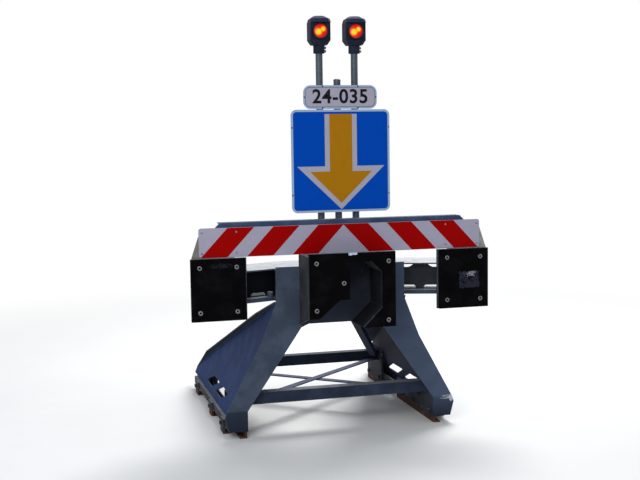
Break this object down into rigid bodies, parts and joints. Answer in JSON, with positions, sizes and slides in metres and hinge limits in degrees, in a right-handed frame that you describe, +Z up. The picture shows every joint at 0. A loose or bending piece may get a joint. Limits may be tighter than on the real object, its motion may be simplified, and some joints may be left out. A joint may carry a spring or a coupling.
{
  "type": "railway buffer stop",
  "caption": "Sliding railway buffer stop: a welded frame that grips the rails, with rubber-faced buffer plates, a notched crossbeam, a striped board, an arrow sign and red lamps.",
  "frame": {"origin": "under the middle of the frame, level with the underside of the rail jaws", "axes": "+X across the track to the right as seen by an arriving train, +Y along the track away from the train, +Z up"},
  "size_m": [2.118, 2.1, 2.879],
  "materials": {
    "frame_paint": "weathered mid grey paint on rolled plate, with rust stains",
    "pad_rubber": "dull black rubber with scuffs",
    "board_face": "satin board with red and white slanted stripes",
    "carrier_paint": "blue-grey paint",
    "bare_steel": "light grey bare steel",
    "galvanised": "dull hot-dip galvanised",
    "sign_blue": "satin blue sheet with an arrow and a pale border",
    "plate_white": "satin white sheet with plain numerals",
    "lamp_housing": "matt dark grey moulding",
    "lamp_red": "red lens, lit from behind"
  },
  "bodies": {
    "root": {"leg_face_left": "frame_paint", "leg_face_right": "frame_paint", "side_web_left": "frame_paint", "side_web_right": "frame_paint", "top_flange_left": "frame_paint", "top_flange_right": "frame_paint", "rail_shoe_left": "frame_paint", "rail_shoe_right": "frame_paint", "inner_jaws_left": "frame_paint", "inner_jaws_right": "frame_paint", "outer_jaws_left": "frame_paint", "outer_jaws_right": "frame_paint", "rail_hooks_left": "frame_paint", "rail_hooks_right": "frame_paint", "front_bar": "frame_paint", "rear_bar": "frame_paint", "beam_top_plate": "frame_paint", "beam_bottom_plate": "frame_paint", "beam_web": "frame_paint", "buffer_plate_left": "frame_paint", "buffer_plate_right": "frame_paint", "buffer_bracket_left": "frame_paint", "buffer_bracket_right": "frame_paint", "box_front": "frame_paint", "box_back": "frame_paint", "box_roof": "frame_paint", "box_sides": "frame_paint", "pocket_wall": "frame_paint", "rear_strut_left": "frame_paint", "rear_strut_right": "frame_paint", "brace_lower": "frame_paint", "brace_upper": "frame_paint", "buffer_pad_left": "pad_rubber", "buffer_pad_right": "pad_rubber", "centre_pad": "pad_rubber", "marker_board": "board_face", "board_carrier": "carrier_paint", "board_gusset_left": "bare_steel", "board_gusset_right": "bare_steel", "sign_posts": "galvanised", "sign_clamps": "galvanised", "arrow_sign": "sign_blue", "number_plate": "plate_white", "lamp_left": "lamp_housing", "lamp_right": "lamp_housing", "lamp_lenses": "lamp_red"}
  },
  "joints": []
}
